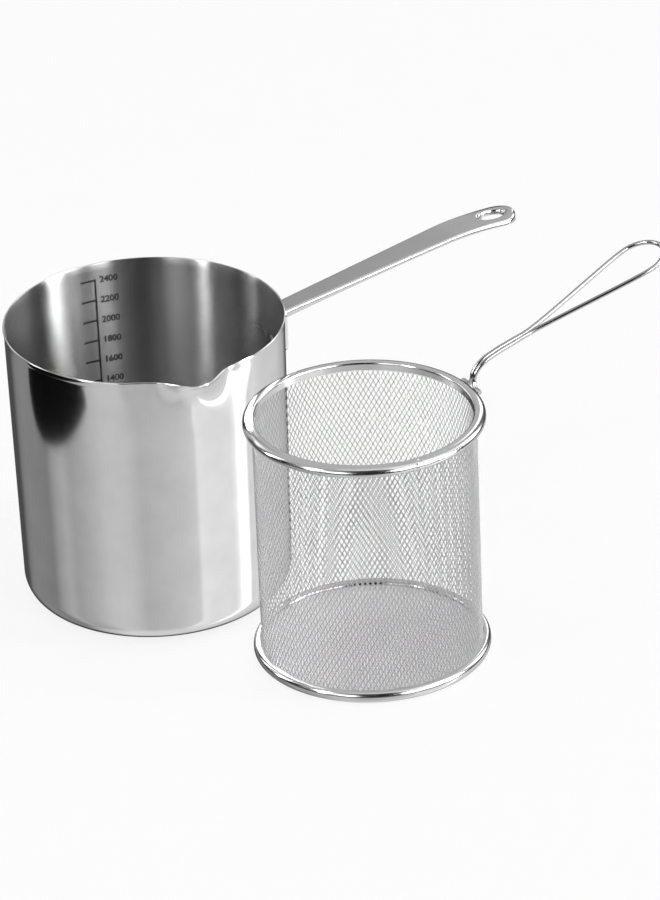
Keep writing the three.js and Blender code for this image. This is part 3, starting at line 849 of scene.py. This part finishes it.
def build_hoops():
    """The rolled strips at the basket's top and foot. The lower one is a hoop turned upside down."""
    rim = hoop_profile(RIM_HOOP_RADIUS, RIM_HOOP_TALL, RIM_SHOULDER, RIM_EDGE, -RIM_LEG_TALL)
    rim = [(r, z + BASKET_TOP) for r, z in rim]
    leg_bottom = SEAT_GAP - BASE_HOOP_TALL / 2
    base = hoop_profile(BASE_HOOP_RADIUS, BASE_HOOP_TALL, BASE_SHOULDER, BASE_EDGE, leg_bottom)
    base = [(r, -z) for r, z in base][::-1]
    rim_rings = stand_out(revolved(rim, HOOP_FACETS), rim, (core_line(RIM_HOOP_RADIUS), RIM_MIDDLE))
    add_hoop("rim_hoop", rim_rings, HOOP_STEEL, "rim_band", sharp_angle=50)
    add_hoop("base_hoop", revolved(base, HOOP_FACETS), HOOP_STEEL, "base_band", sharp_angle=50)


def build_core_wires():
    for name, hoop_radius, height in (
        ("rim_core", RIM_HOOP_RADIUS, RIM_MIDDLE),
        ("base_core", BASE_HOOP_RADIUS, BASE_HOOP_TALL / 2),
    ):
        profile = arc(core_line(hoop_radius), height, CORE_WIRE_RADIUS, 0, FULL_TURN, CORE_WIRE_SIDES)
        add_hoop(name, revolved(profile[:-1], HOOP_FACETS), WIRE_STEEL, name + "_wire")


def woven_piece(name, paths, facing, radius, replaced):
    """Many wires in one piece. Each path is a row of points, and facing is the way the cloth faces."""
    points, faces, start = [], [], 0
    for path, up in zip(paths, facing):
        points.append(basket_points(tube(path, radius, WEAVE_SIDES, up)).reshape(-1, 3))
        faces += shifted(tube_faces(len(path), WEAVE_SIDES), start)
        start += len(path) * WEAVE_SIDES
    add_piece(name, np.concatenate(points), faces, MESH_STEEL, "basket", replaced)


def build_mesh_wall():
    """Two sets of wires that wind round the wall, up to the left and up to the right. Each wire of
    one set crosses the other set at every row, by turns outside and inside it."""
    bottom, top = HOOP_LEG + SEAT_GAP, BASKET_TOP - HOOP_LEG - SEAT_GAP
    strands = round(FULL_TURN * MESH_RADIUS * math.sin(WEAVE_SLOPE) / WEAVE_PITCH)
    half_step = FULL_TURN / strands / 2
    rows = round((top - bottom) / (half_step * MESH_RADIUS * math.tan(WEAVE_SLOPE)))
    row = np.arange(rows + 1)
    z = bottom + (top - bottom) * row / rows
    over = 1 - 2 * (row % 2)
    starts = np.linspace(0, FULL_TURN, strands, endpoint=False)
    for name, way in (("mesh_wall_left_wires", 1), ("mesh_wall_right_wires", -1)):
        radius = MESH_RADIUS + way * WEAVE_LIFT * over
        angles = starts[:, None] + way * half_step * row[None, :]
        heights = np.tile(z, (strands, 1))
        paths = np.stack([radius * np.cos(angles), radius * np.sin(angles), heights], axis=-1)
        outward = np.stack([np.cos(angles), np.sin(angles), 0 * angles], axis=-1)
        woven_piece(name, paths, outward, WEAVE_WIRE, ["mesh_wall"])


def build_mesh_floor():
    """A finer cloth, cut round: two sets of straight wires that cross at right angles."""
    radius = MESH_RADIUS - MESH_THICKNESS / 2 - SEAT_GAP
    height = BASE_HOOP_TALL / 2 + MESH_THICKNESS / 2
    half = int(radius / FLOOR_PITCH)
    for name, way in (("mesh_floor_long_wires", 1), ("mesh_floor_cross_wires", -1)):
        paths = []
        for i in range(-half, half + 1):
            inside = int(math.sqrt(max(0, radius**2 - (i * FLOOR_PITCH) ** 2)) / FLOOR_PITCH)
            if inside < 2:
                continue
            j = np.arange(-inside, inside + 1)
            along, aside = j * FLOOR_PITCH, np.full(len(j), i * FLOOR_PITCH)
            x, y = (along, aside) if way > 0 else (aside, along)
            x, y = turned(x, y, FLOOR_WEAVE_TURN)
            paths.append(np.stack([x, y, height + way * FLOOR_LIFT * (1 - 2 * ((i + j) % 2))], axis=-1))
        woven_piece(name, paths, [(0, 0, 1)] * len(paths), FLOOR_WIRE, ["mesh_floor"])


# Basket handle


def smooth_path(points, steps):
    """A centripetal Catmull-Rom curve through points."""
    points = [np.array(p, float) for p in points]
    points = [2 * points[0] - points[1]] + points + [2 * points[-1] - points[-2]]
    path = []
    for p0, p1, p2, p3 in zip(points, points[1:], points[2:], points[3:]):
        d1, d2, d3 = (math.sqrt(np.linalg.norm(b - a)) for a, b in ((p0, p1), (p1, p2), (p2, p3)))
        start = ((p1 - p0) / d1 - (p2 - p0) / (d1 + d2) + (p2 - p1) / d2) * d2
        end = ((p2 - p1) / d2 - (p3 - p1) / (d2 + d3) + (p3 - p2) / d3) * d2
        for t in np.linspace(0, 1, steps, endpoint=False):
            path.append(
                (2 * t**3 - 3 * t**2 + 1) * p1 + (t**3 - 2 * t**2 + t) * start
                + (-2 * t**3 + 3 * t**2) * p2 + (t**3 - t**2) * end
            )
    path.append(points[-2])
    return np.array(path)


def handle_path():
    """The one bent wire: along the hoop, up and out into the neck, round the loop, and the same back."""
    offset = WIRE_RADIUS + SEAT_GAP / 2
    foot_angles = (WIRE_END_ANGLE, (WIRE_END_ANGLE + WIRE_TURN_ANGLE) / 2, WIRE_TURN_ANGLE)
    leg = [(WIRE_LINE * math.cos(a), WIRE_LINE * math.sin(a), RIM_MIDDLE) for a in foot_angles]
    for out, up in WIRE_BEND_SHARES:
        leg.append((WIRE_LINE + out * WIRE_BEND_OUT, offset, RIM_MIDDLE + up * WIRE_STAND))
    neck = (WIRE_LINE + NECK_END_REACH, offset, RIM_MIDDLE + NECK_RISE)
    leg += [tuple((a + b) / 2 for a, b in zip(leg[-1], neck)), neck]
    lean = math.asin((LOOP_RADIUS - offset) / (LOOP_CENTRE_REACH - NECK_END_REACH))
    start = QUARTER_TURN + lean
    loop = []
    for angle in np.linspace(start, -start, LOOP_STEPS + 1):
        reach = LOOP_CENTRE_REACH + LOOP_RADIUS * math.cos(angle)
        rise = LOOP_SLOPE_SHARE * (reach - NECK_END_REACH)
        loop.append((WIRE_LINE + reach, LOOP_RADIUS * math.sin(angle), neck[2] + rise))
    mirror = [(x, -y, z) for x, y, z in reversed(leg)]
    return smooth_path(leg + loop + mirror, PATH_STEPS)


def carried_frames(path):
    """Rings' side and lift directions, carried along a path without twist."""
    along = np.gradient(path, axis=0)
    along /= np.linalg.norm(along, axis=1, keepdims=True)
    lift = np.cross(along[0], (1, 0, 0))
    lifts = []
    for way in along:
        lift = lift - way * np.dot(lift, way)
        lift = lift / np.linalg.norm(lift)
        lifts.append(lift)
    lifts = np.array(lifts)
    return np.cross(lifts, along), lifts


def build_handle():
    path = handle_path()
    rings = rings_round(path, WIRE_RADIUS, WIRE_SIDES, *carried_frames(path))
    faces = tube_faces(len(path), WIRE_SIDES)
    add_piece(
        "looped_handle", basket_points(rings), faces, WIRE_STEEL, "basket", ["basket_handle"],
        sharp_angle=50,
    )


def build_handle_welds():
    """The beads that hold the wire's two feet to the rim hoop, and the tack between its two runs."""
    line = RIM_HOOP_RADIUS + SEAT_GAP / 2
    for name, way in (("foot_weld_left", 1), ("foot_weld_right", -1)):
        angles = way * np.linspace(WIRE_TURN_ANGLE, WIRE_END_ANGLE, FOOT_WELD_POINTS)
        for suffix, radii in FOOT_WELD_HEIGHTS:
            height = RIM_MIDDLE + radii * WIRE_RADIUS
            path = [(line * math.cos(a), line * math.sin(a), height) for a in angles]
            add_bead(name + suffix, path, FOOT_WELD_RADIUS, BASKET_WELD_RIPPLE, "basket")
    path = []
    for share in np.linspace(TACK_START, TACK_END, TACK_POINTS):
        back = share * NECK_END_REACH
        height = RIM_MIDDLE + NECK_RISE + LOOP_SLOPE_SHARE * back
        path.append((WIRE_LINE + NECK_END_REACH + back, 0, height))
    add_bead("neck_tack", path, BEAD_RADIUS, BASKET_WELD_RIPPLE, "basket")


# Studio


def add_camera():
    """The camera, placed by its turn, pitch, roll and distance from a target beside the pot."""
    data = bpy.data.cameras.new("camera")
    data.sensor_fit = "HORIZONTAL"
    data.sensor_width = SENSOR_WIDTH_MM
    data.lens = FOCAL_PIXELS * SENSOR_WIDTH_MM / IMAGE_WIDTH
    data.clip_start, data.clip_end = CAMERA_CLIP
    camera = add_object("camera", data)
    turn = Matrix.Rotation(CAMERA_TURN, 4, "Z")
    lift = Matrix.Translation((0, 0, CAMERA_TARGET_HEIGHT))
    tilt = Matrix.Rotation(QUARTER_TURN - CAMERA_PITCH, 4, "X")
    away = Matrix.Translation((CAMERA_TARGET_RIGHT, CAMERA_TARGET_UP, CAMERA_DISTANCE))
    camera.matrix_world = turn @ lift @ tilt @ away @ Matrix.Rotation(CAMERA_ROLL, 4, "Z")
    bpy.context.scene.camera = camera


def math_node(tree, operation, *values):
    return add_node(tree, "Math", dict(enumerate(values)), operation=operation).outputs["Value"]


def mixed(tree, factor, *values):
    """A mix by a factor of two values, each a colour or a plain grey."""
    first, second = (v if isinstance(v, bpy.types.NodeSocket) else (v, v, v, 1) for v in values)
    # A Mix node has sockets for every kind of data, and these are the ones for colours
    node = add_node(tree, "Mix", {0: factor, 6: first, 7: second}, data_type="RGBA")
    return node.outputs[2]


# Brightness of the studio by compass angle in degrees: above the horizon, below it and high up
STUDIO_ABOVE = [
    (-180, 0.25), (-173, 0.12), (-170, 0.15), (-168, 19), (-165.5, 19), (-163, 0.8), (-157, 0.7),
    (-150, 2.5), (-138, 3.8), (-134.5, 1.6), (-131, 0.03), (-118, 0.005), (-91, 0.005), (-89, 2),
    (-87, 7.5), (-77, 8), (-72, 2.4), (-67, 1.8), (-57, 9), (-50, 1.8), (-46, 1.8), (-43, 7), (-41, 62),
    (-35, 56), (-32, 3), (-26, 0.6), (-16, 0.3), (-8, 1.2), (0, 2.8), (8, 4.3), (15, 3.6), (19, 0.3),
    (28, 0.1), (38, 0.4), (40, 3.5), (46, 3.5), (49, 0.6), (72, 0.6), (83, 0.1), (93, 0.85), (113, 1.9),
    (123, 0.4), (133, 0.03), (140, 0.1), (142, 14), (144.5, 14), (147, 0.1), (152, 0.01), (166, 0.01),
    (172, 0.3), (180, 0.25),
]
STUDIO_BELOW = [
    (-180, 0.5), (-175, 0.53), (-167, 0.6), (-157, 0.7), (-147, 0.72), (-137, 0.69), (-125, 0.58),
    (-115, 0.62), (-105, 0.66), (-95, 0.7), (-86, 0.75), (-79, 0.8), (-77, 1.06), (-66, 1.02), (-45, 1.0),
    (-40, 1.2), (-38, 1.7), (-29, 1.7), (-27, 0.8), (-22, 0.95), (-15, 0.88), (0, 0.8), (20, 0.74),
    (38, 0.5), (50, 0.08), (95, 0.08), (105, 0.25), (115, 0.29), (133, 0.28), (145, 0.26), (153, 0.42),
    (163, 0.53), (172, 0.45), (180, 0.5),
]
STUDIO_HIGH = [
    (-180, 0.5), (-150, 0.4), (-140, 0.04), (-85, 0.04), (-70, 1.2), (0, 1.2), (10, 0.6), (90, 0.6),
    (180, 0.5),
]
OVERHEAD = 0.9
UNDERNEATH = 0.85
BELT = 0.06  # the dark far end of the room, seen all round at the horizon
DIFFUSE_LIGHT = 0.75  # what surfaces get from all sides, apart from what they mirror

# Where one part of the studio passes into the next, as the sine of the height above the horizon
OVERHEAD_FROM = (0.965, 0.985)
HIGH_FROM = (0.55, 0.7)
UNDERNEATH_FROM = (-0.86, -0.97)
HORIZON = (-0.03, 0.03)
BELT_FOOT = (-0.24, -0.16)
BELT_TOP = (0.14, 0.22)


def build_world():
    """White to the camera, even light to matt surfaces, and a studio in what the steel mirrors."""
    world = bpy.data.worlds.new("studio")
    bpy.context.scene.world = world
    world.use_nodes = True
    tree = world.node_tree
    tree.nodes.clear()
    split = add_node(tree, "SeparateXYZ", {"Vector": add_node(tree, "TexCoord").outputs["Generated"]})
    x, y, z = (split.outputs[k] for k in "XYZ")
    angle = math_node(tree, "ARCTAN2", y, x)
    west = map_range(tree, angle, -math.pi, 0, 0, 1)
    east = map_range(tree, angle, 0, math.pi, 0, 1)
    is_east = math_node(tree, "GREATER_THAN", angle, 0.0)

    def ring(stops):
        """A ramp takes 32 stops at most, so a ring is one ramp for each half of the compass."""
        west_side = ramp(tree, west, [((a + 180) / 180, grey) for a, grey in stops if a <= 0])
        east_side = ramp(tree, east, [(a / 180, grey) for a, grey in stops if a >= 0])
        return mixed(tree, is_east, west_side, east_side)

    walls = mixed(tree, map_range(tree, z, *HIGH_FROM, 0, 1), ring(STUDIO_ABOVE), ring(STUDIO_HIGH))
    above = mixed(tree, map_range(tree, z, *OVERHEAD_FROM, 0, 1), walls, OVERHEAD)
    below = mixed(tree, map_range(tree, z, *UNDERNEATH_FROM, 0, 1), ring(STUDIO_BELOW), UNDERNEATH)
    round_about = mixed(tree, map_range(tree, z, *HORIZON, 0, 1), below, above)
    over_belt_foot = map_range(tree, z, *BELT_FOOT, 0, 1)
    under_belt_top = map_range(tree, z, *BELT_TOP, 1, 0)
    in_belt = math_node(tree, "MINIMUM", over_belt_foot, under_belt_top)
    reflected = mixed(tree, in_belt, round_about, BELT)
    rays = add_node(tree, "LightPath").outputs
    lit = mixed(tree, rays["Is Glossy Ray"], DIFFUSE_LIGHT, reflected)
    seen = mixed(tree, rays["Is Camera Ray"], lit, 1.0)
    background = add_node(tree, "Background", {"Color": seen, "Strength": 1.0})
    add_node(tree, "OutputWorld", {"Surface": background.outputs["Background"]})


def stage_piece(name, points):
    """A flat piece of the studio, which is no part of the object."""
    mesh = bpy.data.meshes.new(name)
    mesh.from_pydata(points, [], [list(range(len(points)))])
    piece = add_object(name, mesh)
    return piece


def build_floor():
    """The floor, matt and nearly white. The camera sees it mixed with plain white, which keeps the
    object's shadow, and the steel doesn't mirror it."""
    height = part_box("pot_shell")[0].z - FLOOR_SINK
    size = FLOOR_HALF_SIZE
    corners = [(-size, -size, height), (size, -size, height), (size, size, height), (-size, size, height)]
    floor = stage_piece("floor", corners)
    floor.visible_glossy = False
    material = matt_material(
        "floor_white", grain=30, tones=[(0.3, 0.955), (0.7, 0.965)], roughness=0.9, specular=0.0
    )
    tree = material.node_tree
    output = next(node for node in tree.nodes if node.type == "OUTPUT_MATERIAL")
    matt = output.inputs["Surface"].links[0].from_socket
    white = add_node(tree, "Emission").outputs["Emission"]
    camera_ray = add_node(tree, "LightPath").outputs["Is Camera Ray"]
    share = math_node(tree, "MULTIPLY", camera_ray, FLOOR_WHITE_SHARE)
    mix = add_node(tree, "MixShader", {"Fac": share, 1: matt, 2: white})
    connect(tree, output, {"Surface": mix.outputs["Shader"]})
    floor.data.materials.append(material)


def dark_card(name, outline):
    """A dark card on the floor, seen only in the steel."""
    card = stage_piece(name, [(*turned(x, y, CAMERA_TURN), CARD_HEIGHT) for x, y in outline])
    for ray in ("camera", "diffuse", "shadow", "transmission", "volume_scatter"):
        setattr(card, "visible_" + ray, False)
    material = matt_material(
        "studio_black", grain=60, tones=[(0.35, 0.003), (0.65, 0.008)], roughness=1.0, specular=0.0
    )
    card.data.materials.append(material)


def build_dark_cards():
    """One card lies beside the pot and one before the basket."""
    (left, right), (near, far) = CARD_X, CARD_Y
    corner, (wide, deep) = CARD_NEAR_CORNER, CARD_FAR_CORNER
    outline = [(left, near)] + arc(right - corner, near + corner, corner, -QUARTER_TURN, 0, CARD_NEAR_STEPS)
    outline += arc(right - wide, far - deep, wide, 0, QUARTER_TURN, CARD_FAR_STEPS, deep)
    outline = [(x - CARD_LEAN * (y - near), y) for x, y in outline]
    dark_card("dark_card_beside", outline + [(left, far)])
    (left, right), (near, far) = FRONT_CARD_X, FRONT_CARD_Y
    dark_card("dark_card_before", [(left, near), (right, near), (right, far), (left, far)])


def build_lights():
    """Two strips of light, from the right and the left, that face the object."""
    for name, place, power in LIGHTS:
        data = bpy.data.lights.new(name, "AREA")
        data.shape = "RECTANGLE"
        data.size, data.size_y = LIGHT_SIZE
        data.energy = power
        light = add_object(name, data)
        light.location = place
        way = Vector(LIGHT_TARGET) - Vector(place)
        light.rotation_euler = way.to_track_quat("-Z", "Y").to_euler()


# Assembly

add_camera()
build_world()
build_floor()
build_dark_cards()
build_lights()
build_pot()
build_scale()
build_numerals()
build_strap()
build_bracket()
build_spot_welds()
build_strap_weld()
build_hoops()
build_core_wires()
build_mesh_wall()
build_mesh_floor()
build_handle()
build_handle_welds()

bpy.context.scene.view_settings.view_transform = "Standard"
